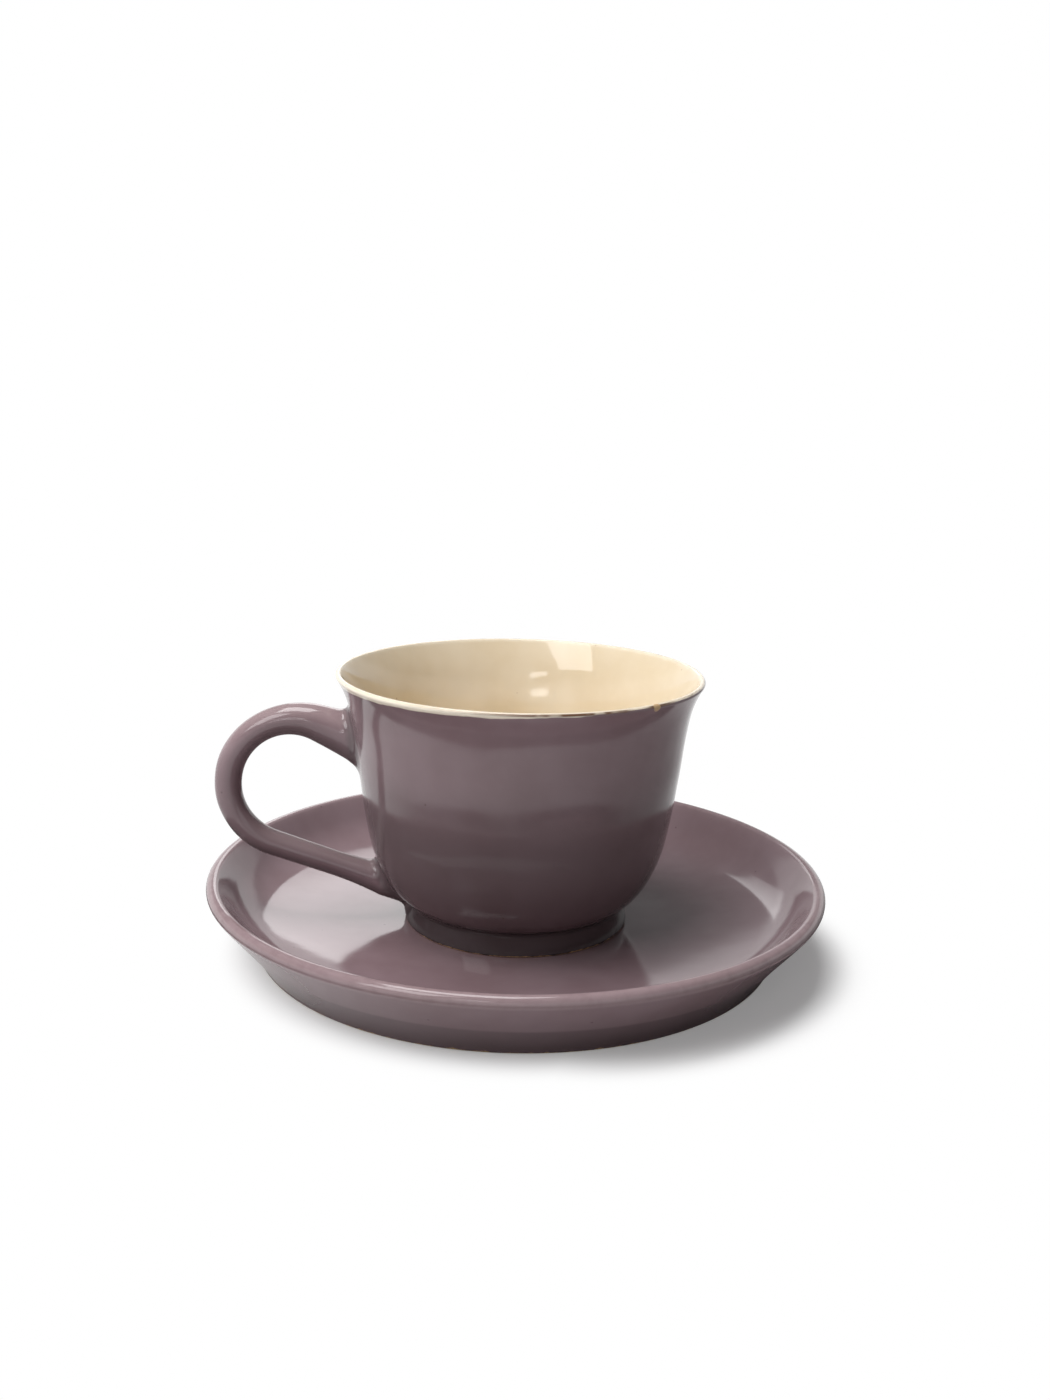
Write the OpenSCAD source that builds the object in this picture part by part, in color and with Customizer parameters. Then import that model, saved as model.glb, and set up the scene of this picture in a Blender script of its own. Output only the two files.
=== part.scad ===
// Teacup and saucer in glazed stoneware, in millimetres.
// The saucer stands on the table at z = 0, its axis is the Z axis, and the handle points to -X.

/* [Saucer] */
// Diameter over the saucer's lip
saucer_d = 154; // [140:1:180]
// Height of the saucer from the table to the top of its lip
saucer_h = 18.5; // [14:0.5:28]
// Diameter of the saucer's base, where the wall leaves the table
saucer_base_d = 130; // [110:1:138]
// Height of the saucer's floor above the table, where the cup stands
saucer_floor_h = 5.6; // [4.5:0.1:8]
// Diameter of the flat middle of the saucer's floor
saucer_well_d = 72; // [60:1:100]
// How much the floor rises from its flat middle to the wall
saucer_rise = 3.6; // [1:0.1:5]
// Radius of the cove between the floor and the wall
saucer_cove_r = 4; // [1:0.5:6]
// Thickness of the saucer's rounded lip
saucer_lip_t = 3.4; // [2.4:0.1:5]
// Lean of the saucer's wall at the base, in degrees from upright
saucer_base_lean = 31; // [20:1:40]
// Lean of the saucer's wall inside and under the lip, in degrees from upright
saucer_lip_lean = 38; // [25:1:50]
// Width of the ring that the saucer stands on
saucer_ring_w = 6.5; // [4:0.5:12]
// Depth of the hollow inside that ring
saucer_hollow_h = 1.8; // [0.8:0.1:2.4]
// Rounding of the base's lower edge
saucer_edge_r = 0.9; // [0.4:0.1:2]

/* [Cup] */
// Diameter over the cup's lip
cup_d = 90.4; // [84:0.2:100]
// Height of the cup from its foot to the top of its lip
cup_h = 63.5; // [58:0.5:75]
// Diameter of the cup at its waist
waist_d = 79.2; // [72:0.2:84]
// Height of the waist above the foot
waist_h = 37.8; // [30:0.2:44]
// Lean of the wall at the waist, in degrees from upright
waist_lean = 7.3; // [2:0.1:14]
// Lean of the wall under the lip, in degrees from upright
lip_lean = 32; // [20:1:50]
// Thickness of the cup's rounded lip, with its glaze
lip_t = 1.4; // [1.3:0.1:3]
// Thickness of the wall at the waist, with its glaze
wall_t = 3.2; // [2.6:0.1:5]
// Height of the cup's inner floor above the foot
cup_floor_h = 7; // [6:0.1:10]
// Diameter of the flat middle of the inner floor
cup_floor_d = 20; // [10:1:30]
// Diameter of the foot where it meets the saucer
foot_d = 56.2; // [50:0.2:60]
// Diameter of the neck between the foot and the bowl
neck_d = 54.6; // [50:0.2:56]
// Height of the neck above the saucer
neck_h = 5.5; // [4.5:0.1:8]
// Lean of the bowl where it leaves the neck, in degrees from upright
neck_lean = 54; // [40:1:65]
// Radius of the groove at the neck
neck_r = 1.4; // [0.5:0.1:2]
// Width of the foot ring
foot_w = 3.6; // [2.5:0.1:5]
// Depth of the hollow inside the foot ring
foot_hollow_h = 3; // [2:0.1:4]
// Rounding of the foot's lower edge
foot_edge_r = 0.7; // [0.3:0.1:1.2]

/* [Lining] */
// Thickness of the lining glaze
glaze_t = 0.4; // [0.3:0.05:0.6]
// Where the lining ends on the lip, in degrees above its outermost point
glaze_line = 28; // [10:1:85]

/* [Handle] */
// Distance of the handle loop's middle from the cup's axis
loop_x = 55.3; // [52:0.1:60]
// Height of the loop's middle above the cup's foot
loop_h = 35.2; // [32:0.1:38]
// Radius of the loop, to the middle of the rod
loop_r = 16.3; // [14:0.1:18]
// Slope of the upper leg as it runs down into the wall, in degrees
upper_slope = 21; // [15:1:45]
// Height above the foot at which the middle of the tail meets the bowl
tail_h = 9.9; // [8.5:0.1:13]
// Thickness of the rod at the top of the loop
rod_top_t = 7.3; // [6:0.1:9]
// Thickness of the rod at the end of the tail
rod_tail_t = 5.7; // [5:0.1:8]
// Width of the rod across the loop, at the top of the loop
rod_top_w = 8.2; // [6:0.1:11]
// Width of the rod across the loop, at the end of the tail
rod_tail_w = 6.4; // [5:0.1:9]
// Extra size of the upper end where it spreads on the wall
upper_flare = 5.9; // [2:0.1:7]
// Extra size of the tail where it spreads on the bowl
tail_flare = 2.4; // [1:0.1:4]
// Length over which each end spreads
flare_l = 14; // [10:0.5:20]

/* [Hidden] */

$fn = 180;
MAUVE = [0.50, 0.43, 0.44];
CREAM = [0.91, 0.83, 0.70];

// Steps in each curve of a profile, in each rounded edge, and along and around the handle
CURVE_STEPS = 18;
EDGE_STEPS = 8;
HANDLE_STEPS = 64;
HANDLE_SIDES = 28;

// Share of a curve's chord that its tangents run for at the cup's flare, at the waist and at the lip
FLARE_PULL = [0.50, 0.25];
// The same along the inside of the bowl, at the floor and at the waist
INNER_PULL = [0.45, 0.42];

saucer_r = saucer_d / 2;
saucer_base_r = saucer_base_d / 2;
saucer_lip_r = saucer_lip_t / 2;
saucer_lip_c = [saucer_r - saucer_lip_r, saucer_h - saucer_lip_r];
saucer_well_r = saucer_well_d / 2;
saucer_ring_in_r = saucer_base_r - saucer_ring_w;

lip_r = lip_t / 2;
lip_c = [cup_d / 2 - lip_r, cup_h - lip_r];
waist = [waist_d / 2, waist_h];
neck = [neck_d / 2, neck_h];
foot_r = foot_d / 2;
foot_in_r = foot_r - foot_w;

loop_c = [loop_x, loop_h];
// The tail meets the bowl half-way in from the waist to the neck, and runs from there to touch the loop
tail_joint = [(waist[0] + neck[0]) / 2, tail_h];
tail_to_loop = loop_c - tail_joint;
tail_slope = atan2(tail_to_loop[1], tail_to_loop[0]) - asin(loop_r / norm(tail_to_loop));
// Angles round the loop at which the upper leg and the tail leave it
loop_start = 90 + upper_slope;
loop_end = tail_slope - 90;
// Each leg runs from the loop to the face of the clay, and on into the clay before it is cut:
// the upper leg by its own thickness, the tail until it is over the inner edge of the foot ring
upper_free_l = (loop_x + loop_r * cos(loop_start) - waist[0]) / cos(upper_slope);
upper_sunk_l = rod_top_t / cos(upper_slope);
upper_l = upper_free_l + upper_sunk_l;
arc_l = loop_r * (loop_start - loop_end) * PI / 180;
tail_free_l = sqrt(norm(tail_to_loop) ^ 2 - loop_r ^ 2);
tail_sunk_l = (tail_joint[0] - foot_in_r) / cos(tail_slope);
tail_l = tail_free_l + tail_sunk_l;
handle_l = upper_l + arc_l + tail_l;

// A point at distance l from p, in the direction that leans out from upright by a
function lean(p, a, l) = p + l * [sin(a), cos(a)];

// A smooth curve from p0 to p1 with a lean at each end, without p0 itself
function curve(p0, a0, p1, a1, pull = [1 / 3, 1 / 3]) =
    let (
        chord = norm(p1 - p0),
        q0 = lean(p0, a0, pull[0] * chord),
        q1 = lean(p1, a1, -pull[1] * chord)
    )
    [for (i = [1:CURVE_STEPS])
        let (t = i / CURVE_STEPS, u = 1 - t)
        u ^ 3 * p0 + 3 * u ^ 2 * t * q0 + 3 * u * t ^ 2 * q1 + t ^ 3 * p1];

// An arc about c from angle a0 to angle a1
function arc(c, r, a0, a1) =
    [for (i = [0:EDGE_STEPS])
        let (a = a0 + (a1 - a0) * i / EDGE_STEPS)
        c + r * [cos(a), sin(a)]];

// The inward-curving fillet at corner c, entered with lean a0 and left with lean a1
function groove(c, a0, a1, r) =
    let (
        back = r * tan((a1 - a0) / 2),
        p = lean(c, a0, -back),
        mid = p + r * [cos(a0), -sin(a0)]
    )
    arc(mid, r, 180 - a0, 180 - a1);

function reversed(list) = [for (i = [len(list) - 1:-1:0]) list[i]];

// The saucer's section, from the hollow underneath, round the lip and back along the floor
function saucer_section() =
    let (
        base = [saucer_base_r, saucer_edge_r],
        under_lip = saucer_lip_c + saucer_lip_r * [cos(saucer_lip_lean), -sin(saucer_lip_lean)],
        over_lip = saucer_lip_c - saucer_lip_r * [cos(saucer_lip_lean), -sin(saucer_lip_lean)],
        wall_h = over_lip[1] - saucer_floor_h - saucer_rise,
        floor_edge = lean(over_lip, saucer_lip_lean, -wall_h / cos(saucer_lip_lean)),
        floor_slope = atan(2 * saucer_rise / (floor_edge[0] - saucer_well_r)),
        cove = groove(floor_edge, saucer_lip_lean + 180, 270 - floor_slope, saucer_cove_r)
    )
    concat(
        [[0, saucer_hollow_h], [saucer_ring_in_r - saucer_hollow_h, saucer_hollow_h], [saucer_ring_in_r, 0]],
        arc(base - [saucer_edge_r, 0], saucer_edge_r, -90, 0),
        curve(base, saucer_base_lean, under_lip, saucer_lip_lean),
        arc(saucer_lip_c, saucer_lip_r, -saucer_lip_lean, 180 - saucer_lip_lean),
        cove,
        curve(cove[EDGE_STEPS], 270 - floor_slope, [saucer_well_r, saucer_floor_h], 270),
        [[0, saucer_floor_h]]
    );

// The cup's outside, from the foot's lower edge up to the lip
function cup_outside() =
    let (
        foot_top = [foot_r, foot_edge_r],
        foot_lean = atan2(neck[0] - foot_r, neck_h - foot_edge_r),
        fillet = groove(neck, foot_lean, neck_lean, neck_r),
        bowl_start = fillet[EDGE_STEPS],
        under_lip = lip_c + lip_r * [cos(lip_lean), -sin(lip_lean)]
    )
    concat(
        arc(foot_top - [foot_edge_r, 0], foot_edge_r, -90, 0),
        fillet,
        curve(bowl_start, neck_lean, waist, waist_lean),
        curve(waist, waist_lean, under_lip, lip_lean, FLARE_PULL)
    );

// The cup's inside at depth t under the glaze, from the glaze line over the lip and down to the middle
function cup_inside(t) =
    let (
        over_lip = lip_c - (lip_r - t) * [cos(lip_lean), -sin(lip_lean)],
        inner_waist = waist - (wall_t - t) * [cos(waist_lean), -sin(waist_lean)],
        floor_edge = [cup_floor_d / 2, cup_floor_h - t],
        flare = curve(over_lip, lip_lean + 180, inner_waist, waist_lean + 180, reversed(FLARE_PULL)),
        bowl = curve(inner_waist, waist_lean + 180, floor_edge, 270, reversed(INNER_PULL))
    )
    concat(arc(lip_c, lip_r - t, glaze_line, 180 - lip_lean), flare, bowl, [[0, cup_floor_h - t]]);

// The hollow under the cup, from its middle out to the foot ring
function cup_underside() =
    [[0, foot_hollow_h], [foot_in_r - foot_hollow_h / 2, foot_hollow_h], [foot_in_r, 0]];

// The rod's size at distance d along the handle: a taper from top to tail, with a spread at each end
function rod_size(d, top, tail) =
    let (
        from_wall = max(0, d - upper_sunk_l),
        from_bowl = max(0, handle_l - tail_sunk_l - d),
        spread_up = max(0, 1 - from_wall / flare_l),
        spread_down = max(0, 1 - from_bowl / flare_l)
    )
    top + (tail - top) * d / handle_l + upper_flare * spread_up ^ 2 + tail_flare * spread_down ^ 2;

// One ring of the rod at distance d: straight in the legs, turning about the loop's middle between them
function rod_ring(d) =
    let (
        turned = min(max(d - upper_l, 0), arc_l),
        a = loop_start - turned / loop_r * 180 / PI,
        beyond = d < upper_l ? d - upper_l : max(0, d - upper_l - arc_l),
        out = [cos(a), sin(a)],
        middle = loop_c + loop_r * out + beyond * [sin(a), -cos(a)],
        half_t = rod_size(d, rod_top_t, rod_tail_t) / 2,
        half_w = rod_size(d, rod_top_w, rod_tail_w) / 2
    )
    [for (j = [0:HANDLE_SIDES - 1])
        let (
            b = 360 * j / HANDLE_SIDES,
            p = middle + half_t * cos(b) * out
        )
        [-p[0], half_w * sin(b), p[1]]];

// A solid skinned over a list of rings, each with the same count of points
module skin(rings) {
    n = len(rings[0]);
    last = (len(rings) - 1) * n;
    sides = [
        for (i = [0:len(rings) - 2], j = [0:n - 1])
            let (a = i * n + j, b = i * n + (j + 1) % n)
            each [[a, b, a + n], [b, b + n, a + n]]
    ];
    caps = [[for (j = [0:n - 1]) n - 1 - j], [for (j = [0:n - 1]) last + j]];
    polyhedron([for (ring = rings) each ring], concat(sides, caps));
}

// The cup filled solid, as the handle's ends meet it
module cup_filled() {
    rotate_extrude()
        polygon(concat(
            [[0, 0]],
            cup_outside(),
            arc(lip_c, lip_r, -lip_lean, 90),
            [[0, cup_h]]
        ));
}

module on_saucer() {
    translate([0, 0, saucer_floor_h])
        children();
}

module saucer() {
    color(MAUVE)
        rotate_extrude()
            polygon(saucer_section());
}

module cup_body() {
    color(MAUVE)
        on_saucer()
            rotate_extrude()
                polygon(concat(
                    cup_underside(),
                    cup_outside(),
                    arc(lip_c, lip_r, -lip_lean, glaze_line),
                    cup_inside(glaze_t)
                ));
}

module cup_lining() {
    color(CREAM)
        on_saucer()
            rotate_extrude()
                polygon(concat(cup_inside(0), reversed(cup_inside(glaze_t))));
}

module cup_handle() {
    color(MAUVE)
        on_saucer()
            difference() {
                skin([for (i = [0:HANDLE_STEPS]) rod_ring(handle_l * i / HANDLE_STEPS)]);
                cup_filled();
            }
}

saucer();
cup_body();
cup_lining();
cup_handle();
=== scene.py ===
import math

import bpy
import numpy as np
from mathutils import Matrix, Vector


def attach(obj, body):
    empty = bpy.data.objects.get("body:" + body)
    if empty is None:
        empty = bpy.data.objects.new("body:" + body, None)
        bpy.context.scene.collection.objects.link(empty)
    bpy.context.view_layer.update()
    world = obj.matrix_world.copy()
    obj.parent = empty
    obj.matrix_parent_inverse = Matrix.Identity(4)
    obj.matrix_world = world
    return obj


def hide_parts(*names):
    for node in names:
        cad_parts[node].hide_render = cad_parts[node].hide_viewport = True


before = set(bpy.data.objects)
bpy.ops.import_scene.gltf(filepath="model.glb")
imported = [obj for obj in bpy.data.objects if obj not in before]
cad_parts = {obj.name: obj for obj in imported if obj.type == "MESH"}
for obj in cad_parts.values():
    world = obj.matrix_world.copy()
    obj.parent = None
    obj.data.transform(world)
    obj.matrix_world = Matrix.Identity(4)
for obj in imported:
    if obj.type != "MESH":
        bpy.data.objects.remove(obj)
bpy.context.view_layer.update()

# A glazed stoneware teacup on its saucer. Shapes are worked out in millimetres, in the frame of the CAD
# nodes that they replace, and become metres when a mesh is made. Lights and the table are in metres.
# Angles are in degrees.
MM = 0.001
TINY = 1e-6

# Saucer
SAUCER_D = 154
SAUCER_H = 18.5
SAUCER_BASE_D = 130
SAUCER_FLOOR_H = 5.6
SAUCER_WELL_D = 72
SAUCER_RISE = 3.6
SAUCER_COVE_R = 16
SAUCER_LIP_T = 3.4
SAUCER_BASE_LEAN = 31
SAUCER_LIP_LEAN = 38
SAUCER_RING_W = 6.5
SAUCER_HOLLOW_H = 1.8
SAUCER_EDGE_R = 0.9

# Cup, with heights above its foot
CUP_D = 90.4
CUP_H = 63.5
WAIST_D = 79.2
WAIST_H = 37.8
WAIST_LEAN = 7.3
LIP_LEAN = 32
LIP_T = 1.4
WALL_T = 3.2
CUP_FLOOR_H = 7
CUP_FLOOR_D = 20
FOOT_D = 56.2
NECK_D = 54.6
NECK_H = 5.5
NECK_LEAN = 54
NECK_R = 1.4
FOOT_W = 3.6
FOOT_HOLLOW_H = 3
FOOT_EDGE_R = 0.7
GLAZE_T = 0.4
# The angle round the lip at which the outer glaze gives way to the lining
GLAZE_LINE = 28
# How far the wall's curves hold the lean of each end, as a share of their length
FLARE_PULL = (0.50, 0.25)
INNER_PULL = (0.45, 0.42)

# Handle
LOOP_X = 55.3
LOOP_H = 35.2
LOOP_R = 16.3
UPPER_SLOPE = 21
TAIL_H = 9.9
ROD_TOP_T = 7.3
ROD_TAIL_T = 5.7
ROD_TOP_W = 8.2
ROD_TAIL_W = 6.4
UPPER_FLARE = 5.2
UPPER_FLARE_L = 28
TAIL_FLARE = 2.4
TAIL_FLARE_L = 14
# Slip at the handle's joints: the radius of its blend, how far its skirts reach round the rod as a share
# of the rod's size, and how deep the skirts' edges and the caps inside them are sunk in the clay
SLIP_R = 3.2
UPPER_SKIRT = 0.85
TAIL_SKIRT = 0.75
SKIRT_SUNK = 0.06
CAP_DEPTH = 1.2

# Hand-thrown unevenness, the same for every piece of the cup: each wave's height, its count round the cup,
# its waves per mm of height, and its start; and the radii and heights over which the waves set in
WAVES = (
    (0.075, 2, 0.006, 0.4),
    (0.045, 3, 0.021, 2.1),
    (0.030, 5, -0.034, 4.4),
    (0.022, 7, 0.052, 1.3),
    (0.016, 9, -0.071, 5.2),
    (0.020, 0, 0.093, 0.9),
)
WAVES_FROM_R = (6, 26)
WAVES_FROM_H = (3, 14)

# Where the glaze is thin or thick, and where shade is painted: the spread over which an edge or a groove
# counts, and the heights between which the painted shade low on the outside fades out; the cup's second
# pair stacks more of it at the foot
EDGE_SPREAD = 0.7
SAUCER_PAINTED_SHADE = ((6.4, 8.4),)
CUP_PAINTED_SHADE = ((6, 60), (5, 8))
# How far the brown seam reaches from the line where the two glazes meet
SEAM_W = 0.45

# Fineness of the meshes
SEGMENTS = 360
CURVE_STEPS = 44
EDGE_STEPS = 14
STRAIGHT_STEP = 2.0
ROD_STEPS = 170
ROD_SIDES = 84
ROD_CROWDING = 0.75
SKIRT_STEPS = 14
SKIRT_CROWDING = 1.3
SHARP_ANGLE = 32
# How points settle onto the blended surface, and how the rod's meeting with the cup is found
SETTLE_ROUNDS = 7
SETTLE_STEP = 0.6
SETTLE_NUDGE = 0.01
LEAST_SLOPE = 0.2
BISECT_ROUNDS = 30

LIP_R = LIP_T / 2
LIP_C = np.array([CUP_D / 2 - LIP_R, CUP_H - LIP_R])
WAIST = np.array([WAIST_D / 2, WAIST_H])
NECK = np.array([NECK_D / 2, NECK_H])
FOOT_R = FOOT_D / 2
FOOT_IN_R = FOOT_R - FOOT_W
SEAM = LIP_C + LIP_R * np.array([math.cos(math.radians(GLAZE_LINE)), math.sin(math.radians(GLAZE_LINE))])


# Profiles, as arrays of (radius, height)

def lean(p, angle, length):
    """The point at that distance from p, in the direction that leans out from upright by the angle."""
    a = math.radians(angle)
    return np.asarray(p, float) + length * np.array([math.sin(a), math.cos(a)])


def curve(p0, a0, p1, a1, pull=(1 / 3, 1 / 3)):
    """A smooth curve from p0 to p1 with a lean at each end, without p0 itself."""
    p0 = np.asarray(p0, float)
    p1 = np.asarray(p1, float)
    chord = np.linalg.norm(p1 - p0)
    q0 = lean(p0, a0, pull[0] * chord)
    q1 = lean(p1, a1, -pull[1] * chord)
    t = np.linspace(0, 1, CURVE_STEPS + 1)[1:, None]
    u = 1 - t
    return u ** 3 * p0 + 3 * u ** 2 * t * q0 + 3 * u * t ** 2 * q1 + t ** 3 * p1


def arc(c, r, a0, a1):
    """An arc about c from angle a0 to angle a1."""
    a = np.radians(np.linspace(a0, a1, EDGE_STEPS + 1))
    return np.asarray(c, float) + r * np.stack([np.cos(a), np.sin(a)], axis=1)


def groove(c, a0, a1, r):
    """The inward-curving fillet at corner c, entered with lean a0 and left with lean a1."""
    p = lean(c, a0, -r * math.tan(math.radians((a1 - a0) / 2)))
    middle = p + r * np.array([math.cos(math.radians(a0)), -math.sin(math.radians(a0))])
    return arc(middle, r, 180 - a0, 180 - a1)


def across(angle, length):
    """A step of that length square to a wall that leans by the angle, outwards and down."""
    a = math.radians(angle)
    return length * np.array([math.cos(a), -math.sin(a)])


def line(*points):
    """Straight runs through the points, with steps short enough to shade well."""
    out = [np.asarray(points[0], float)[None]]
    for a, b in zip(points, points[1:]):
        steps = max(2, int(np.hypot(b[0] - a[0], b[1] - a[1]) / STRAIGHT_STEP))
        t = np.linspace(0, 1, steps + 1)[1:, None]
        out.append((1 - t) * np.asarray(a, float) + t * np.asarray(b, float))
    return np.concatenate(out)


def saucer_section():
    """From the hollow underneath, round the lip and back along the floor."""
    base_r = SAUCER_BASE_D / 2
    ring_in_r = base_r - SAUCER_RING_W
    lip_r = SAUCER_LIP_T / 2
    lip_c = np.array([SAUCER_D / 2 - lip_r, SAUCER_H - lip_r])
    base = (base_r, SAUCER_EDGE_R)
    under_lip = lip_c + across(SAUCER_LIP_LEAN, lip_r)
    over_lip = lip_c - across(SAUCER_LIP_LEAN, lip_r)
    well_r = SAUCER_WELL_D / 2
    wall_h = over_lip[1] - SAUCER_FLOOR_H - SAUCER_RISE
    floor_edge = lean(over_lip, SAUCER_LIP_LEAN, -wall_h / math.cos(math.radians(SAUCER_LIP_LEAN)))
    floor_slope = math.degrees(math.atan(2 * SAUCER_RISE / (floor_edge[0] - well_r)))
    cove = groove(floor_edge, SAUCER_LIP_LEAN + 180, 270 - floor_slope, SAUCER_COVE_R)
    return np.concatenate([
        line((0, SAUCER_HOLLOW_H), (ring_in_r - SAUCER_HOLLOW_H, SAUCER_HOLLOW_H), (ring_in_r, 0)),
        arc((base_r - SAUCER_EDGE_R, SAUCER_EDGE_R), SAUCER_EDGE_R, -90, 0),
        curve(base, SAUCER_BASE_LEAN, under_lip, SAUCER_LIP_LEAN),
        arc(lip_c, lip_r, -SAUCER_LIP_LEAN, 180 - SAUCER_LIP_LEAN)[1:],
        line(over_lip, cove[0])[1:],
        cove[1:],
        curve(cove[-1], 270 - floor_slope, (well_r, SAUCER_FLOOR_H), 270),
        line((well_r, SAUCER_FLOOR_H), (0, SAUCER_FLOOR_H))[1:],
    ])


def cup_outside():
    """From the foot's lower edge up to the lip."""
    foot_lean = math.degrees(math.atan2(NECK[0] - FOOT_R, NECK_H - FOOT_EDGE_R))
    fillet = groove(NECK, foot_lean, NECK_LEAN, NECK_R)
    under_lip = LIP_C + across(LIP_LEAN, LIP_R)
    foot_edge = arc((FOOT_R - FOOT_EDGE_R, FOOT_EDGE_R), FOOT_EDGE_R, -90, 0)
    return np.concatenate([
        foot_edge,
        line(foot_edge[-1], fillet[0])[1:],
        fillet[1:],
        curve(fillet[-1], NECK_LEAN, WAIST, WAIST_LEAN),
        curve(WAIST, WAIST_LEAN, under_lip, LIP_LEAN, FLARE_PULL),
    ])


def cup_inside(depth):
    """At that depth under the lining's face, from the glaze line over the lip and down to the middle."""
    over_lip = LIP_C - across(LIP_LEAN, LIP_R - depth)
    inner_waist = WAIST - across(WAIST_LEAN, WALL_T - depth)
    floor_edge = np.array([CUP_FLOOR_D / 2, CUP_FLOOR_H - depth])
    return np.concatenate([
        arc(LIP_C, LIP_R - depth, GLAZE_LINE, 180 - LIP_LEAN),
        curve(over_lip, LIP_LEAN + 180, inner_waist, WAIST_LEAN + 180, FLARE_PULL[::-1]),
        curve(inner_waist, WAIST_LEAN + 180, floor_edge, 270, INNER_PULL[::-1]),
        line(floor_edge, (0, CUP_FLOOR_H - depth))[1:],
    ])


def cup_body_section():
    """From the middle of the hollow under the foot, up the outside and down under the lining."""
    under = line((0, FOOT_HOLLOW_H), (FOOT_IN_R - FOOT_HOLLOW_H / 2, FOOT_HOLLOW_H), (FOOT_IN_R, 0))
    return np.concatenate([
        under,
        cup_outside(),
        arc(LIP_C, LIP_R, -LIP_LEAN, GLAZE_LINE)[1:],
        cup_inside(GLAZE_T),
    ])


def lining_section():
    """Down the lining's face and back up under it."""
    return np.concatenate([cup_inside(0), cup_inside(GLAZE_T)[::-1]])


# Unevenness, and where the glaze lies thin or thick

def ramp(x, low, high):
    """0 below low, 1 above high, and smooth between them."""
    t = np.clip((x - low) / (high - low), 0, 1)
    return t * t * (3 - 2 * t)


def thrown(points, foot_h):
    """The points, in mm, moved in or out as the potter's hand left the wall, with the foot left true."""
    x, y, z = points.T
    r = np.hypot(x, y)
    angle = np.arctan2(y, x)
    h = z - foot_h
    swell = sum(
        size * np.cos(count * angle + 2 * math.pi * pitch * h + start)
        for size, count, pitch, start in WAVES
    )
    swell = swell * ramp(r, *WAVES_FROM_R) * ramp(h, *WAVES_FROM_H)
    grow = 1 + swell / np.maximum(r, 1)
    return np.stack([x * grow, y * grow, z], axis=1)


def path_length(section):
    """How far along a profile each of its points is."""
    return np.concatenate([[0], np.cumsum(np.hypot(*np.diff(section, axis=0).T))])


def edges(section, spread):
    """How sharply each point of a profile turns outwards and inwards, per mm, evened out over a spread."""
    step = np.diff(section, axis=0)
    heading = np.unwrap(np.arctan2(step[:, 1], step[:, 0]))
    turn = np.zeros(len(section))
    turn[1:-1] = np.diff(heading)
    along = path_length(section)
    kernel = np.exp(-((along[:, None] - along[None]) / spread) ** 2 / 2) / (spread * math.sqrt(2 * math.pi))
    turn = kernel @ turn
    return np.clip(turn, 0, None), np.clip(-turn, 0, None)


def painted_shade_depth(h, shade_heights):
    """How much painted shade lies at each height: each pair of heights adds 1 below it, 0 above it."""
    return sum((1 - ramp(h, *heights) for heights in shade_heights), np.zeros(len(h)))


# Meshes

def add(name, data):
    """A new object in the scene."""
    obj = bpy.data.objects.new(name, data)
    bpy.context.scene.collection.objects.link(obj)
    return obj


def mesh_object(name, verts, faces, layers, material):
    """A smooth mesh from points in mm, with the glaze's layers stored on its points."""
    mesh = bpy.data.meshes.new(name)
    mesh.from_pydata((np.asarray(verts) * MM).tolist(), [], faces)
    for layer, values in layers.items():
        stored = mesh.attributes.new(layer, "FLOAT", "POINT")
        stored.data.foreach_set("value", np.asarray(values, np.float32))
    mesh.shade_smooth()
    mesh.set_sharp_from_angle(angle=math.radians(SHARP_ANGLE))
    mesh.materials.append(material)
    mesh.update()
    return add(name, mesh)


def lathe(section, closed):
    """Points, faces and each point's row, for a section turned about the Z axis."""
    angles = np.linspace(0, 2 * math.pi, SEGMENTS, endpoint=False)
    verts = []
    rows = []
    row_of = []
    for i, (r, z) in enumerate(section):
        count = 1 if r < TINY else SEGMENTS
        rows.append(list(range(len(verts), len(verts) + count)))
        verts.extend((r * math.cos(a), r * math.sin(a), z) for a in angles[:count])
        row_of.extend([i] * count)
    faces = []
    for a, b in zip(rows, rows[1:] + rows[:1] if closed else rows[1:]):
        for j in range(SEGMENTS):
            k = (j + 1) % SEGMENTS
            if len(a) > 1 and len(b) > 1:
                faces.append((a[j], a[k], b[k], b[j]))
            elif len(b) > 1:
                faces.append((a[0], b[k], b[j]))
            elif len(a) > 1:
                faces.append((a[j], a[k], b[0]))
    return np.array(verts), faces, np.array(row_of)


def turned(name, section, material, lift, thin_above, shade_heights=(), closed=False, uneven=True):
    """A turned piece standing at height lift. Its layers say where its glaze is thin, on edges higher than
    thin_above, where it is thick, in grooves, where shade is painted on low on the outside, and where
    the lip's seam is."""
    verts, faces, row_of = lathe(section, closed)
    verts[:, 2] += lift
    if uneven:
        verts = thrown(verts, lift)
    thin, pool_and_shade = edges(section, EDGE_SPREAD)
    thin = np.where(section[:, 1] > thin_above, thin, 0)
    outside = np.arange(len(section)) < np.argmax(section[:, 1])
    # Painted shade: the outside is darkened low down through the same layer as glaze pooled in grooves
    pool_and_shade = pool_and_shade + np.where(outside, painted_shade_depth(section[:, 1], shade_heights), 0)
    to_seam = np.linalg.norm(section - SEAM, axis=1)
    seam = np.clip(1 - to_seam / SEAM_W, 0, 1)
    along = path_length(section)
    below = along[np.argmin(to_seam)] - along
    layers = {"thin": thin[row_of], "pool_and_shade": pool_and_shade[row_of], "seam": seam[row_of], "below": below[row_of]}
    return mesh_object(name, verts, faces, layers, material)


# The handle: a tapered rod along two legs and a loop, blended into the cup's outside where they meet.
# It is worked out in the cup's own heights, with s running out from the axis towards -X.

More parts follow.
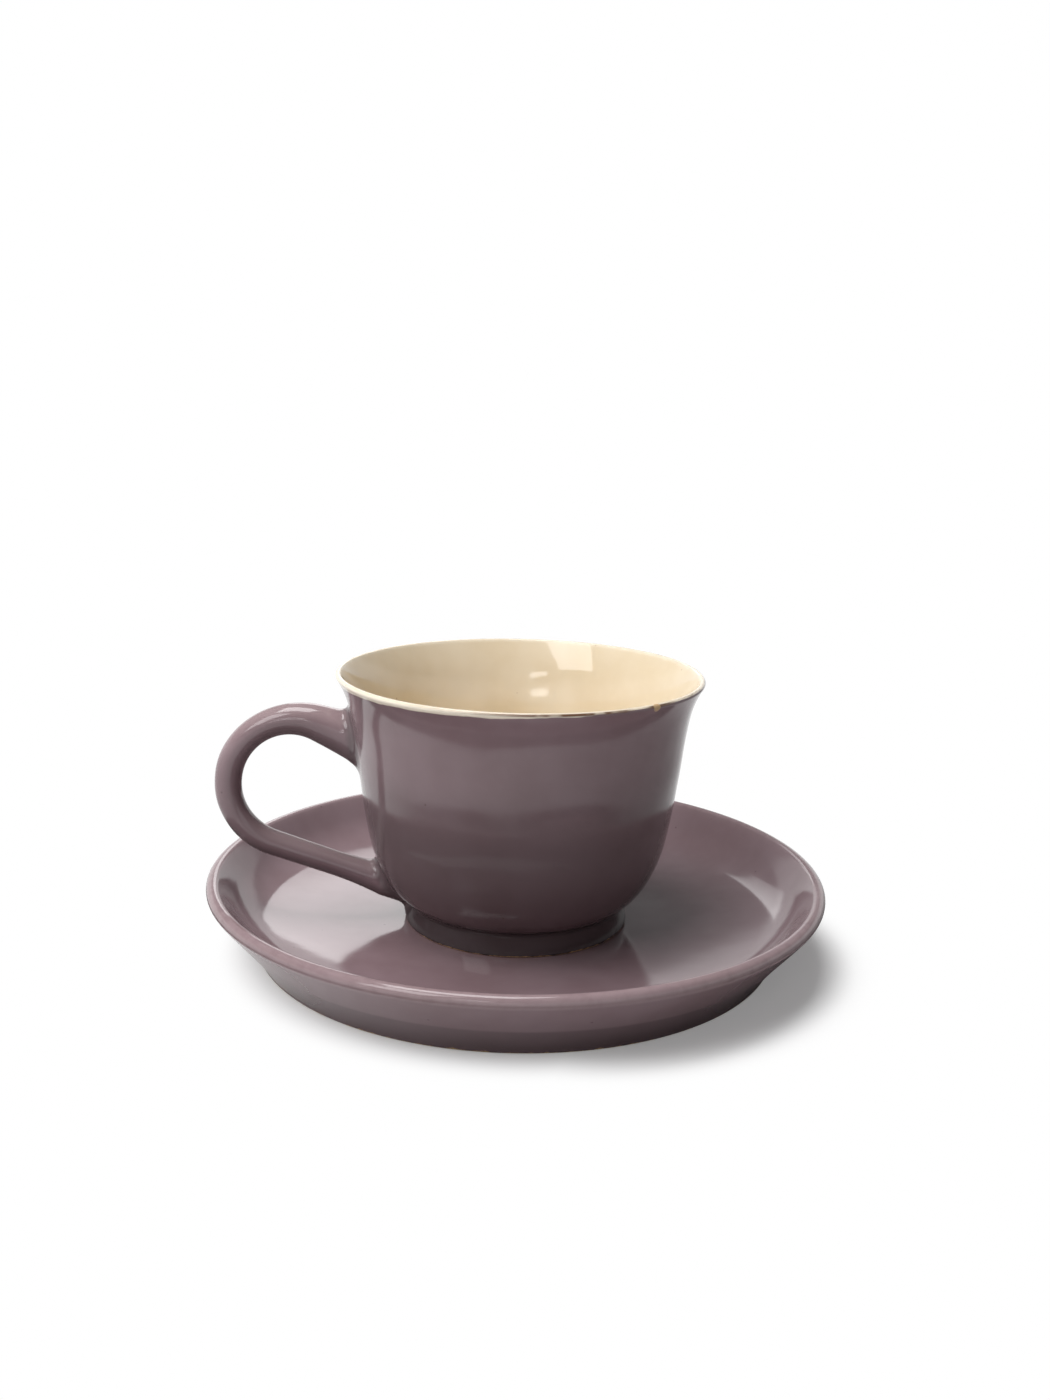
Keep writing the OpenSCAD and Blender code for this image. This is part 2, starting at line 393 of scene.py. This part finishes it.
OUTSIDE = cup_outside()
LOOP_C = np.array([LOOP_X, LOOP_H])
TAIL_JOINT = np.array([(WAIST[0] + NECK[0]) / 2, TAIL_H])
TAIL_REACH = np.linalg.norm(LOOP_C - TAIL_JOINT)
TAIL_SLOPE = math.degrees(
    math.atan2(*(LOOP_C - TAIL_JOINT)[::-1]) - math.asin(LOOP_R / TAIL_REACH)
)
LOOP_START = math.radians(90 + UPPER_SLOPE)
LOOP_END = math.radians(TAIL_SLOPE - 90)
UPPER_FREE_L = (LOOP_X + LOOP_R * math.cos(LOOP_START) - WAIST[0]) / math.cos(math.radians(UPPER_SLOPE))
UPPER_SUNK_L = ROD_TOP_T / math.cos(math.radians(UPPER_SLOPE))
UPPER_L = UPPER_FREE_L + UPPER_SUNK_L
ARC_L = LOOP_R * (LOOP_START - LOOP_END)
TAIL_FREE_L = math.sqrt(TAIL_REACH ** 2 - LOOP_R ** 2)
TAIL_SUNK_L = (TAIL_JOINT[0] - FOOT_IN_R) / math.cos(math.radians(TAIL_SLOPE))
HANDLE_L = UPPER_L + ARC_L + TAIL_FREE_L + TAIL_SUNK_L
# Each leg's run along the rod, from its buried end to the loop
UPPER_LEG = (0.0, UPPER_L)
TAIL_LEG = (HANDLE_L, UPPER_L + ARC_L)


def rod_half(d, top, tail):
    """Half the rod's size at distance d along it: a taper, with a spread at each end."""
    up = np.clip(1 - np.maximum(0, d - UPPER_SUNK_L) / UPPER_FLARE_L, 0, 1)
    down = np.clip(1 - np.maximum(0, HANDLE_L - TAIL_SUNK_L - d) / TAIL_FLARE_L, 0, 1)
    return (top + (tail - top) * d / HANDLE_L + UPPER_FLARE * up ** 2 + TAIL_FLARE * down ** 2) / 2


def rod_halves(d):
    """Half the rod's thickness and half its width at distance d."""
    return rod_half(d, ROD_TOP_T, ROD_TAIL_T), rod_half(d, ROD_TOP_W, ROD_TAIL_W)


def rod_middle(d):
    """The rod's middle line at distance d, and the direction out from the loop there, as (s, h)."""
    turned_by = np.clip(d - UPPER_L, 0, ARC_L)
    a = LOOP_START - turned_by / LOOP_R
    beyond = np.where(d < UPPER_L, d - UPPER_L, np.maximum(0, d - UPPER_L - ARC_L))
    out = np.stack([np.cos(a), np.sin(a)], axis=-1)
    ahead = np.stack([np.sin(a), -np.cos(a)], axis=-1)
    return LOOP_C + LOOP_R * out + beyond[..., None] * ahead, out


def rod_point(d, b, grow=1.0):
    """The point at distance d and angle b round the rod, or round a rod grown by that factor."""
    middle, out = rod_middle(d)
    half_t, half_w = rod_halves(d)
    p = middle + (half_t * grow * np.cos(b))[..., None] * out
    return np.stack([p[..., 0], half_w * grow * np.sin(b), p[..., 1]], axis=-1)


def rod_distance(p):
    """About how far each point lies outside the rod."""
    flat = p[:, [0, 2]]
    best = np.full(len(p), np.inf)
    where = np.zeros(len(p))
    for start, stop in (UPPER_LEG, TAIL_LEG[::-1]):
        a = rod_middle(np.array(float(start)))[0]
        b = rod_middle(np.array(float(stop)))[0]
        along = np.clip((flat - a) @ (b - a) / (stop - start), 0, stop - start)
        gap = np.linalg.norm(flat - a - along[:, None] * (b - a) / (stop - start), axis=1)
        nearer = gap < best
        best = np.where(nearer, gap, best)
        where = np.where(nearer, start + along, where)
    angle = np.arctan2(flat[:, 1] - LOOP_H, flat[:, 0] - LOOP_X)
    inside = (angle <= LOOP_START) & (angle >= LOOP_END)
    gap = np.where(inside, np.abs(np.linalg.norm(flat - LOOP_C, axis=1) - LOOP_R), np.inf)
    where = np.where(gap < best, UPPER_L + (LOOP_START - angle) * LOOP_R, where)
    middle, out = rod_middle(where)
    half = np.stack(rod_halves(where), axis=1)
    local = np.stack([np.sum((flat - middle) * out, axis=1), p[:, 1]], axis=1)
    share = np.maximum(np.linalg.norm(local / half, axis=1), TINY)
    slope = np.maximum(np.linalg.norm(local / half ** 2, axis=1), TINY)
    return share * (share - 1) / slope


def cup_distance(p):
    """How far each point lies outside the cup, or inside it if negative."""
    r = np.hypot(p[:, 0], p[:, 1])
    q = np.stack([r, p[:, 2]], axis=1)
    a, step = OUTSIDE[:-1], np.diff(OUTSIDE, axis=0)
    t = np.einsum("nki,ki->nk", q[:, None] - a, step) / np.sum(step ** 2, axis=1)
    foot = a + np.clip(t, 0, 1)[..., None] * step
    gap = np.min(np.linalg.norm(q[:, None] - foot, axis=2), axis=1)
    return np.where(r > np.interp(p[:, 2], OUTSIDE[:, 1], OUTSIDE[:, 0]), gap, -gap)


def slip_share(rod, cup):
    """How much of the slip's blend points at those distances take: 1 in the joint's corner, 0 elsewhere."""
    return np.clip(SLIP_R - np.abs(rod - cup), 0, None) / SLIP_R


def joined_distance(p):
    """How far each point lies outside the rod and the cup, with slip in the corner between them."""
    rod, cup = rod_distance(p), cup_distance(p)
    return np.minimum(rod, cup) - slip_share(rod, cup) ** 2 * SLIP_R / 4


def on_surface(p):
    """The points moved onto the joined surface."""
    for _ in range(SETTLE_ROUNDS):
        f = joined_distance(p)
        slope = np.stack([
            (joined_distance(p + step) - joined_distance(p - step)) / (2 * SETTLE_NUDGE)
            for step in SETTLE_NUDGE * np.eye(3)
        ], axis=1)
        move = f[:, None] * slope / np.maximum(np.sum(slope ** 2, axis=1), LEAST_SLOPE)[:, None]
        p = p - np.clip(move, -SETTLE_STEP, SETTLE_STEP)
    return p


def meets_cup(b, leg, grow=1.0):
    """The distance along the rod at which each line along a leg, at angle b, meets the cup."""
    low = np.full(len(b), leg[0])
    high = np.full(len(b), leg[1])
    for _ in range(BISECT_ROUNDS):
        mid = (low + high) / 2
        buried = cup_distance(rod_point(mid, b, grow)) < 0
        low = np.where(buried, mid, low)
        high = np.where(buried, high, mid)
    return (low + high) / 2


def skirt_rings(b, leg, reach):
    """Rings of points on the cup round a leg's joint, from the edge of the slip's skirt in to the rod."""
    rings = []
    for i in range(SKIRT_STEPS, 0, -1):
        grow = 1 + reach * (i / SKIRT_STEPS) ** SKIRT_CROWDING
        rings.append(rod_point(meets_cup(b, leg, grow), b, grow))
    return rings


def handle_rings():
    """Rings of points from the upper skirt's edge, along the rod, to the tail skirt's edge."""
    b = np.linspace(0, 2 * math.pi, ROD_SIDES, endpoint=False)
    first = meets_cup(b, UPPER_LEG)
    last = meets_cup(b, TAIL_LEG)
    t = np.linspace(0, 1, ROD_STEPS)
    share = t - np.sin(2 * math.pi * t) / (2 * math.pi) * ROD_CROWDING
    rod = [rod_point(first + u * (last - first), b) for u in share]
    return skirt_rings(b, UPPER_LEG, UPPER_SKIRT) + rod + skirt_rings(b, TAIL_LEG, TAIL_SKIRT)[::-1]


def handle_layers(p):
    """How thick the handle's glaze is, with the cup's painted shade on the skirts, and where it hangs free.
    On the skirts it is as on the cup there.
    """
    rod, cup = rod_distance(p), cup_distance(p)
    on_cup = ramp(rod - cup, -SLIP_R, SLIP_R)
    cup_pool_and_shade = edges(OUTSIDE, EDGE_SPREAD)[1] + painted_shade_depth(OUTSIDE[:, 1], CUP_PAINTED_SHADE)
    under_skirt = np.interp(p[:, 2], OUTSIDE[:, 1], cup_pool_and_shade)
    return np.maximum(slip_share(rod, cup), on_cup * under_skirt), 1 - on_cup


def tube_faces(rings, sides):
    """Faces between rings of points, and a fan at each end to the two cap points that follow the rings."""
    faces = []
    for i in range(rings - 1):
        for j in range(sides):
            k = (j + 1) % sides
            faces.append((i * sides + j, i * sides + k, (i + 1) * sides + k, (i + 1) * sides + j))
    top, bottom = rings * sides, rings * sides + 1
    last_ring = (rings - 1) * sides
    for j in range(sides):
        k = (j + 1) % sides
        faces.append((top, k, j))
        faces.append((bottom, last_ring + j, last_ring + k))
    return faces


def handle(name, material):
    """The handle with its slip, capped inside the clay."""
    rings = handle_rings()
    p = np.concatenate(rings)
    near = cup_distance(p) < 2 * SLIP_R
    p[near] = on_surface(p[near])
    pool_and_shade, free = np.zeros(len(p)), np.ones(len(p))
    pool_and_shade[near], free[near] = handle_layers(p[near])
    caps = []
    for edge in (slice(0, ROD_SIDES), slice(len(p) - ROD_SIDES, len(p))):
        r = np.hypot(p[edge, 0], p[edge, 1])
        p[edge, :2] *= (1 - SKIRT_SUNK / r)[:, None]
        centre = p[edge].mean(axis=0)
        depth = cup_distance(centre[None])[0] + CAP_DEPTH
        caps.append(centre - np.array([depth, 0, 0]))
    p = np.concatenate([p, caps])
    layers = {"pool_and_shade": np.append(pool_and_shade, [0, 0]), "free": np.append(free, [1, 1])}
    verts = np.stack([-p[:, 0], p[:, 1], p[:, 2] + SAUCER_FLOOR_H], axis=1)
    verts = thrown(verts, SAUCER_FLOOR_H)
    return mesh_object(name, verts, tube_faces(len(rings), ROD_SIDES), layers, material)


# Materials

def srgb(r, g, b):
    """A colour as it looks on screen, from 0 to 255, as the shader's own linear values."""
    def linear(v):
        v /= 255
        return v / 12.92 if v <= 0.04045 else ((v + 0.055) / 1.055) ** 2.4
    return (linear(r), linear(g), linear(b), 1.0)


def grey(v):
    """A grey of that linear value."""
    return (v, v, v, 1.0)


class Tree:
    """A short way to write the nodes of a material or a world."""

    def __init__(self, owner):
        self.owner = owner
        owner.use_nodes = True
        self.tree = owner.node_tree
        self.tree.nodes.clear()

    def put(self, socket, value):
        if isinstance(value, bpy.types.NodeSocket):
            self.tree.links.new(value, socket)
        else:
            socket.default_value = value

    def node(self, kind, settings=None, inputs=None):
        n = self.tree.nodes.new(kind)
        for key, value in (settings or {}).items():
            setattr(n, key, value)
        for key, value in (inputs or {}).items():
            self.put(n.inputs[key], value)
        return n

    def math(self, operation, a, b, clamp=False):
        n = self.node("ShaderNodeMath", {"operation": operation, "use_clamp": clamp}, {0: a, 1: b})
        return n.outputs[0]

    def plus(self, a, b, clamp=False):
        return self.math("ADD", a, b, clamp)

    def minus(self, a, b):
        return self.math("SUBTRACT", a, b)

    def times(self, a, b):
        return self.math("MULTIPLY", a, b)

    def in_mm(self, metres):
        return self.math("DIVIDE", metres, MM)

    def mix(self, share, a, b):
        n = self.node("ShaderNodeMix", {"data_type": "RGBA", "clamp_factor": True}, {0: share, 6: a, 7: b})
        return n.outputs[2]

    def span(self, value, low, high, to_low=0.0, to_high=1.0):
        n = self.node("ShaderNodeMapRange", {"interpolation_type": "SMOOTHSTEP", "clamp": True},
                      dict(enumerate((value, low, high, to_low, to_high))))
        return n.outputs[0]

    def noise(self, coords, scale, detail, stretch=None):
        if stretch:
            coords = self.node("ShaderNodeMapping", None, {"Vector": coords, "Scale": stretch}).outputs[0]
        n = self.node("ShaderNodeTexNoise", None, {"Vector": coords, "Scale": scale, "Detail": detail})
        return n.outputs["Fac"]

    def layer(self, name):
        return self.node("ShaderNodeAttribute", {"attribute_name": name}).outputs["Fac"]

    def coords(self, kind):
        return self.node("ShaderNodeTexCoord").outputs[kind]

    def part(self, vector, axis):
        return self.node("ShaderNodeSeparateXYZ", None, {"Vector": vector}).outputs[axis]

    def distance(self, a, b):
        n = self.node("ShaderNodeVectorMath", {"operation": "DISTANCE"}, {0: a, 1: b})
        return n.outputs["Value"]

    def rays(self):
        """1 or 0 for each of: a ray from the camera, from a mirroring surface, and from a dull one."""
        path = self.node("ShaderNodeLightPath").outputs
        mirrored = self.math("MAXIMUM", path["Is Glossy Ray"], path["Is Transmission Ray"])
        return path["Is Camera Ray"], mirrored, path["Is Diffuse Ray"]

    def finish(self, kind, shader):
        self.node(kind, None, {"Surface": shader})
        return self.owner


CLAY = srgb(196, 164, 124)
CLAY_GRAIN = srgb(160, 126, 90)
SEAM_BROWN = srgb(112, 82, 64)
# Pool colours: glaze pooled dark in grooves, and also painted shade low on the outside and, on the handle,
# painted shade underneath the rod
SAUCER_POOL_AND_SHADE = srgb(103, 87, 90)
CUP_POOL_AND_SHADE = srgb(80, 72, 73)
# Painted shade at the cup's foot
DEEP_PAINTED_SHADE = srgb(40, 33, 34)
MAUVE = dict(
    dark=srgb(129, 107, 111), light=srgb(138, 117, 122), thin=srgb(158, 138, 140),
    speck=srgb(74, 54, 50), specks_shown=0.05, gloss=(0.08, 0.12),
)
CREAM = dict(
    dark=srgb(225, 208, 179), light=srgb(233, 219, 195), thin=srgb(243, 232, 214), pool_and_shade=srgb(218, 195, 154),
    speck=srgb(150, 112, 74), specks_shown=0.03, gloss=(0.05, 0.08),
)
GLAZE_IOR = 1.5
# Noises in the glaze and the clay: the scale per metre, the detail and the stretch
CLOUD = (48, 3)
RUNS = (70, 2, (1, 1, 0.16))
MOTTLE = (430, 4)
PATCHES = (95, 3)
SWELL = (130, 1)
PEEL = (900, 1)
GRAIN = (2600, 3)
# Clouding: how much of it is cloud rather than runs, and the noise's values from dark to light and from
# glossy to dull
CLOUD_SHARE = 0.6
TONE_SPAN = (0.36, 0.64)
GLOSS_SPAN = (0.3, 0.7)
# Spans with four values give the share of the new colour at the first two
MOTTLE_SPAN = (0.42, 0.72, 0.0, 0.15)
THIN_SPAN = (0.10, 0.7)
THIN_PATCHES = (0.25, 0.6, 0.3, 0.6)
# The pool colour's share, for glaze pooled in grooves and for painted shade
POOL_AND_SHADE_SPAN = (0.05, 0.7, 0.0, 0.6)
# The share of the painted shade at the foot, where the painted shade low on the outside stacks up
DEEP_SHADE_SPAN = (1.1, 2.0, 0.0, 0.7)
# How far a surface on the handle faces up, to be painted paler as a highlight, or down, to be painted
# darker as shade
TOP_PAINTED_LIGHT_SPAN = (0.1, 0.9, 0.0, 0.75)
UNDER_PAINTED_SHADE_SPAN = (0.0, -0.8, 0.0, 0.6)
# How far, in mm, the lining's cream runs down the outside of the lip in front, how much further for each mm
# towards the handle, and how much that edge wavers and blurs
CREAM_RUN = 0.55
CREAM_LEAN = 0.026
CREAM_WAVER = 1.4
CREAM_BLUR = (-0.15, 0.15)
# The brown seam, which is patchy and fades out on the handle's side
SEAM_SPAN = (0.0, 0.6)
SEAM_PATCHES = (0.36, 0.54)
SEAM_FADE = (-34, 6)
# Iron specks: cells per metre, the size of a speck in its cell, and its strength
SPECK_CELLS = 330
SPECK_SPAN = (0.05, 0.13, 1.0, 0.0)
SPECK_SHARE = 0.4
# A chip on the lip that shows the clay
CHIP_AT = (26.9, -36.3, 68.6)
CHIP_R = (0.7, 1.3)
CHIP_ROUGH = 0.6
# Bare clay on a standing ring: the heights at which it ends, how much that edge wavers, and its roughness
BARE_H = (0.25, 0.45)
BARE_WAVER = 1.3
BARE_ROUGH = 0.72
GRAIN_SPAN = (0.4, 0.65)
GRAIN_BUMP = 0.6
# The height, in mm, of the waves in the glaze's surface, and how much the finest ones add
GLAZE_WAVE = 0.035
PEEL_SHARE = 0.07


def lip_colours(t, coords, colour, over):
    """The colour with the one that runs down over the lip, if any, and with the seam between the two."""
    patchy = t.noise(coords, *PATCHES)
    side = t.in_mm(t.part(coords, "X"))
    if over is not None:
        run = t.minus(CREAM_RUN, t.times(side, CREAM_LEAN))
        run = t.plus(run, t.times(t.minus(patchy, 0.5), CREAM_WAVER))
        covered = t.span(t.minus(run, t.layer("below")), *CREAM_BLUR)
        colour = t.mix(covered, colour, over)
    shown = t.times(t.span(patchy, *SEAM_PATCHES), t.span(side, *SEAM_FADE))
    return t.mix(t.times(t.span(t.layer("seam"), *SEAM_SPAN), shown), colour, SEAM_BROWN)


def speck_share(t, coords, specks_shown):
    """The strength of the iron specks, which only that share of the cells have."""
    cells = t.node("ShaderNodeTexVoronoi", {"feature": "F1"}, {"Vector": coords, "Scale": SPECK_CELLS})
    drawn = t.node("ShaderNodeSeparateColor", None, {"Color": cells.outputs["Color"]}).outputs["Red"]
    chosen = t.math("GREATER_THAN", drawn, 1 - specks_shown)
    return t.times(t.times(t.span(cells.outputs["Distance"], *SPECK_SPAN), chosen), SPECK_SHARE)


def glaze(name, dark, light, thin, pool_and_shade, speck, specks_shown, gloss,
          stands_at=None, over=None, chipped=False, painted_rod_light=False):
    """A glossy glaze that clouds, breaks pale where it is thin, pools dark in grooves and has fine iron
    specks.
    Its pool colour also gives painted shade low on the outside, deepest at the cup's foot.

    It can leave a standing ring bare at a height, have another colour run over its lip, show the chip, and
    give a rod a painted highlight in the thin colour on top and painted shade in the pool colour
    underneath."""
    t = Tree(bpy.data.materials.new(name))
    coords = t.coords("Object")
    cloud = t.noise(coords, *CLOUD)
    mottle = t.noise(coords, *MOTTLE)

    tone = t.plus(t.times(cloud, CLOUD_SHARE), t.times(t.noise(coords, *RUNS), 1 - CLOUD_SHARE))
    colour = t.mix(t.span(tone, *TONE_SPAN), dark, light)
    colour = t.mix(t.span(mottle, *MOTTLE_SPAN), colour, light)
    breaking = t.times(t.span(t.layer("thin"), *THIN_SPAN), t.span(mottle, *THIN_PATCHES))
    colour = t.mix(breaking, colour, thin)
    depth = t.layer("pool_and_shade")
    colour = t.mix(t.span(depth, *POOL_AND_SHADE_SPAN), colour, pool_and_shade)
    # Painted shade at the cup's foot
    colour = t.mix(t.span(depth, *DEEP_SHADE_SPAN), colour, DEEP_PAINTED_SHADE)
    # Painted light on a rod: its top is painted paler as a highlight, its underside darker as shade
    if painted_rod_light:
        facing = t.part(t.node("ShaderNodeNewGeometry").outputs["Normal"], "Z")
        free = t.layer("free")
        colour = t.mix(t.times(t.span(facing, *TOP_PAINTED_LIGHT_SPAN), free), colour, thin)
        colour = t.mix(t.times(t.span(facing, *UNDER_PAINTED_SHADE_SPAN), free), colour, pool_and_shade)
    colour = lip_colours(t, coords, colour, over)
    colour = t.mix(speck_share(t, coords, specks_shown), colour, speck)
    rough = t.span(cloud, *GLOSS_SPAN, *gloss)
    if chipped:
        away = t.in_mm(t.distance(coords, [v * MM for v in CHIP_AT]))
        chip = t.span(t.plus(away, t.minus(mottle, 0.5)), *CHIP_R, 1.0, 0.0)
        colour = t.mix(chip, colour, CLAY)
        rough = t.plus(rough, t.times(chip, CHIP_ROUGH), clamp=True)

    height = t.plus(t.noise(coords, *SWELL), t.times(t.noise(coords, *PEEL), PEEL_SHARE))
    if stands_at is not None:
        up = t.minus(t.in_mm(t.part(coords, "Z")), stands_at)
        edge = t.plus(up, t.times(t.minus(mottle, 0.5), BARE_WAVER))
        bare = t.span(edge, *BARE_H, 1.0, 0.0)
        grain = t.noise(coords, *GRAIN)
        colour = t.mix(bare, colour, t.mix(t.span(grain, *GRAIN_SPAN), CLAY, CLAY_GRAIN))
        rough = t.plus(rough, t.times(bare, BARE_ROUGH), clamp=True)
        height = t.plus(height, t.times(bare, t.times(grain, GRAIN_BUMP)))
    bump = t.node("ShaderNodeBump", None, {"Height": height, "Strength": 1.0, "Distance": GLAZE_WAVE * MM})
    shader = t.node("ShaderNodeBsdfPrincipled", None, {
        "Base Color": colour, "Roughness": rough, "IOR": GLAZE_IOR, "Normal": bump.outputs[0],
    })
    return t.finish("ShaderNodeOutputMaterial", shader.outputs[0])


saucer_glaze = glaze("SaucerGlaze", pool_and_shade=SAUCER_POOL_AND_SHADE, stands_at=0.0, **MAUVE)
cup_glaze = glaze("CupGlaze", pool_and_shade=CUP_POOL_AND_SHADE, stands_at=SAUCER_FLOOR_H, over=CREAM["thin"], chipped=True,
                  **MAUVE)
handle_glaze = glaze("HandleGlaze", pool_and_shade=CUP_POOL_AND_SHADE, painted_rod_light=True, **MAUVE)
lining_glaze = glaze("LiningGlaze", chipped=True, **CREAM)

saucer = turned("SaucerThrown", saucer_section(), saucer_glaze, 0, SAUCER_H / 2,
                shade_heights=SAUCER_PAINTED_SHADE, uneven=False)
cup_body = turned("CupBodyThrown", cup_body_section(), cup_glaze, SAUCER_FLOOR_H, CUP_H,
                  shade_heights=CUP_PAINTED_SHADE)
cup_lining = turned("CupLiningGlazed", lining_section(), lining_glaze, SAUCER_FLOOR_H, CUP_H / 2,
                    closed=True)
cup_handle = handle("CupHandlePulled", handle_glaze)

for piece, body, node, slot in (
    (saucer, "saucer", "saucer", "saucer_glaze"),
    (cup_body, "cup", "cup_body", "cup_glaze"),
    (cup_lining, "cup", "cup_lining", "lining_glaze"),
    (cup_handle, "cup", "cup_handle", "handle_glaze"),
):
    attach(piece, body)
    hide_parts(node)


# Camera, where the photograph's was: its place in mm, its turn to the side, its tilt down and its roll
CAMERA_AT = (-32.9, -323.8, 136.2)
CAMERA_TURN = 6.0
CAMERA_TILT = 12.87
CAMERA_ROLL = 1.37
IMAGE_H = 1400
FOCAL_PX = 1350
SENSOR = 36.0
CLIP_START = 0.01

camera_data = bpy.data.cameras.new("Camera")
camera_data.sensor_width = SENSOR
camera_data.lens = FOCAL_PX / IMAGE_H * SENSOR
camera_data.clip_start = CLIP_START
camera = add("Camera", camera_data)
turn, tilt, roll = (math.radians(a) for a in (CAMERA_TURN, CAMERA_TILT, CAMERA_ROLL))
ahead = Vector((math.sin(turn) * math.cos(tilt), math.cos(turn) * math.cos(tilt), -math.sin(tilt)))
level = Vector((math.cos(turn), -math.sin(turn), 0))
upright = level.cross(ahead)
right = level * math.cos(roll) + upright * math.sin(roll)
up = upright * math.cos(roll) - level * math.sin(roll)
facing = Matrix((right, up, -ahead)).transposed().to_4x4()
camera.matrix_world = Matrix.Translation(Vector(CAMERA_AT) * MM) @ facing
bpy.context.scene.camera = camera


# Light: a soft key and a strip from the left, one from the ceiling, a window at the front left, two low
# panes that show in the lining, a small window behind that shows on the saucer, and an even pale room

def area_light(name, at, aim, size, watts):
    """A rectangular light at a place, turned to its aim."""
    data = bpy.data.lights.new(name, "AREA")
    data.shape = "RECTANGLE"
    data.size, data.size_y = size
    data.energy = watts
    obj = add(name, data)
    obj.location = at
    obj.rotation_euler = (Vector(aim) - Vector(at)).to_track_quat("-Z", "Y").to_euler()
    return obj


LIGHT_AIM = (0, 0, 0.03)
PANE_AIM = (0.009, 0.038, 0.058)
PANE_HEIGHTS = (0.385, 0.270)
BACK_AIM = (-0.0875, 0, -0.019)
BACK_SPREAD = 60

key = area_light("Key", (-0.78, 0.02, 1.26), LIGHT_AIM, (1.00, 1.00), 9.4)
key.visible_glossy = False
area_light("Ceiling", (-0.25, 0.10, 1.58), LIGHT_AIM, (0.80, 0.80), 13.5)
strip = area_light("Strip", (-1.02, -0.06, 0.98), LIGHT_AIM, (0.14, 0.42), 1.8)
strip.visible_glossy = False
for pane_h in PANE_HEIGHTS:
    pane = area_light("Pane", (-0.245, -0.66, pane_h), PANE_AIM, (0.18, 0.04), 0.13)
    pane.visible_camera = False
area_light("Window", (-0.65, -0.55, 0.85), LIGHT_AIM, (0.49, 0.62), 4.3)
back_window = area_light("BackWindow", (-0.055, 0.62, 0.297), BACK_AIM, (0.19, 0.22), 0.034)
back_window.data.spread = math.radians(BACK_SPREAD)
back_window.visible_camera = False

# The room's light on the pieces. Seen directly it is white. Mirrored in the glaze it is white up to the
# first of these heights and dim above the second
ROOM = 0.11
OVERHEAD = 0.30
HORIZON = (0.28, 0.36)


def room_world():
    """The room's even light, with what the camera and the glaze see of it."""
    t = Tree(bpy.data.worlds.new("Room"))
    seen, mirrored, _ = t.rays()
    overhead = t.span(t.part(t.coords("Generated"), "Z"), *HORIZON, 1.0, OVERHEAD)
    unseen = t.span(mirrored, 0.0, 1.0, ROOM, overhead)
    strength = t.span(seen, 0.0, 1.0, unseen, 1.0)
    background = t.node("ShaderNodeBackground", None, {"Color": grey(1.0), "Strength": strength})
    return t.finish("ShaderNodeOutputWorld", background.outputs[0])


bpy.context.scene.world = room_world()


# Floor: a white table, as a disc just under the saucer
FLOOR_R = 3.0
FLOOR_SIDES = 64
FLOOR_GAP = 0.0001
FLOOR_SEEN = grey(0.94)
FLOOR_BOUNCE = grey(0.64)
# Its shadow shows near a place at the right and near the middle. Each pair gives the distances between
# which it fades out, and even in full shadow a share of the table is white
FLOOR_SHADE_AT = (0.019, -0.009, 0.0)
FLOOR_FADE = (0.052, 0.074)
FLOOR_CONTACT = (0.060, 0.080)
FLOOR_LIFT = 0.20
# The table as the glaze mirrors it, with shadow painted on that only the glaze sees: painted shade under
# the saucer's wall, a dark ring of painted shadow round it, then white, and all of it painted dimmer, as
# shadow, on the side away from the windows
MIRROR_NEAR = (0.90, 0.30)
MIRROR_NEAR_SIDE = (-0.06, 0.02)
MIRROR_RING = (0.082, 0.090)
MIRROR_PAINTED_SHADOW = 0.06
MIRROR_FADE = (0.107, 0.116)
MIRROR_FAR = (1.0, 0.35)
MIRROR_FAR_SIDE = (-0.06, 0.16)
# How much each metre towards the back counts against one towards the right, in that dimming
MIRROR_BACK = 0.8


def floor_material():
    """White where it is seen clear of the shadow, and with painted shadow by place where the glaze mirrors
    it.
    """
    t = Tree(bpy.data.materials.new("TableWhite"))
    coords = t.coords("Object")
    x, y = t.part(coords, "X"), t.part(coords, "Y")
    out = t.distance(coords, (0.0, 0.0, 0.0))
    from_shade = t.distance(coords, FLOOR_SHADE_AT)
    seen, mirrored, bounced = t.rays()

    # Painted shadow that only the glaze's reflections see: grey under the wall, a dark ring round it
    ring = t.span(out, *MIRROR_RING)
    near = t.mix(ring, t.span(x, *MIRROR_NEAR_SIDE, *MIRROR_NEAR), grey(MIRROR_PAINTED_SHADOW))
    colour = t.mix(mirrored, t.mix(bounced, FLOOR_SEEN, FLOOR_BOUNCE), near)
    shaded = t.node("ShaderNodeBsdfDiffuse", None, {"Color": colour})

    # Painted shadow that only the glaze's reflections see: the far table dimmer on the right
    side = t.minus(x, t.times(t.math("MAXIMUM", y, 0.0), MIRROR_BACK))
    shown = t.mix(mirrored, grey(1.0), t.span(side, *MIRROR_FAR_SIDE, *MIRROR_FAR))
    white = t.node("ShaderNodeEmission", None, {"Color": shown, "Strength": 1.0})

    clear = t.math("MINIMUM", t.span(from_shade, *FLOOR_FADE), t.span(out, *FLOOR_CONTACT))
    seen_white = t.times(seen, t.span(clear, 0.0, 1.0, FLOOR_LIFT, 1.0))
    share = t.math("MAXIMUM", seen_white, t.times(mirrored, t.span(out, *MIRROR_FADE)))
    mixed = t.node("ShaderNodeMixShader", None, {0: share, 1: shaded.outputs[0], 2: white.outputs[0]})
    return t.finish("ShaderNodeOutputMaterial", mixed.outputs[0])


floor_mesh = bpy.data.meshes.new("Table")
corners = [
    (FLOOR_R * math.cos(a), FLOOR_R * math.sin(a), -FLOOR_GAP)
    for a in np.linspace(0, 2 * math.pi, FLOOR_SIDES, endpoint=False)
]
floor_mesh.from_pydata(corners, [], [tuple(range(len(corners)))])
floor_mesh.materials.append(floor_material())
floor = add("Table", floor_mesh)

bpy.context.scene.view_settings.view_transform = "Standard"
